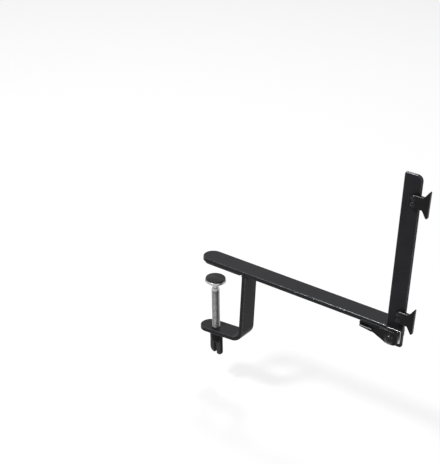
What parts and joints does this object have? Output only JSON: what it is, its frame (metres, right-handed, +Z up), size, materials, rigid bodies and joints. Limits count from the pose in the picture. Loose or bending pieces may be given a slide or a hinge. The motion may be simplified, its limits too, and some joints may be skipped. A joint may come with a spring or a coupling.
{
  "type": "table tennis net clamp",
  "caption": "Black steel table tennis net clamp: a screw clamp under a flat arm, and a folding net post with cord hooks and a lock lever.",
  "frame": {"origin": "on the table seat, the underside of the jaw pad, straight above the screw's hole in the foot", "axes": "+X outwards along the arm to the post, +Y along the table's edge away from the post's face, +Z up"},
  "size_m": [0.2275, 0.0365, 0.2524],
  "materials": {
    "black_powder_coat": "satin",
    "coated_weld": "satin",
    "black_nylon": "satin",
    "zinc_steel": "satin",
    "blackened_steel": "satin",
    "brass": "satin",
    "black_rubber": "matte"
  },
  "bodies": {
    "frame": {"arm_bar": "black_powder_coat", "clamp_hook": "black_powder_coat", "weld_outer": "coated_weld", "weld_front": "coated_weld", "weld_back": "coated_weld", "jaw_pad": "black_rubber", "post_lug": "black_powder_coat", "lug_weld": "coated_weld", "pivot_bolt": "blackened_steel", "spring_washer": "zinc_steel", "lock_nut": "zinc_steel"},
    "pad": {"swivel_pad": "zinc_steel", "pad_face": "black_rubber"},
    "screw": {"clamp_screw": "zinc_steel", "wing_knob": "black_nylon"},
    "post": {"post_plate": "black_powder_coat", "friction_washer": "zinc_steel", "upper_cord_hook": "black_nylon", "lower_cord_hook": "black_nylon", "upper_hook_rivet_top": "blackened_steel", "upper_hook_rivet_bottom": "blackened_steel", "lower_hook_rivet_top": "blackened_steel", "lower_hook_rivet_bottom": "blackened_steel"},
    "lever": {"lock_lever": "black_nylon", "lever_insert": "brass"}
  },
  "joints": [
    {"name": "pad_feed", "type": "slide", "parent": "frame", "child": "pad", "axis": [0.0698, 0, -0.9976], "range_m": [0, 0.03]},
    {"name": "screw_turn", "type": "hinge", "parent": "pad", "child": "screw", "pos_m": [0, 0, -0.0712], "axis": [0.0698, 0, -0.9976], "range_deg": [0, 8645]},
    {"name": "post_fold", "type": "hinge", "parent": "frame", "child": "post", "pos_m": [0.19315, -0.0118, 0.002], "axis": [0, -1, 0], "range_deg": [0, 90]},
    {"name": "lever_release", "type": "hinge", "parent": "frame", "child": "lever", "pos_m": [0.19315, -0.02, 0.002], "axis": [0, -1, 0], "range_deg": [0, 100]}
  ],
  "couplings": [
    {"joint": "screw_turn", "follows": "pad_feed", "rad_per_m": 5026.5}
  ]
}
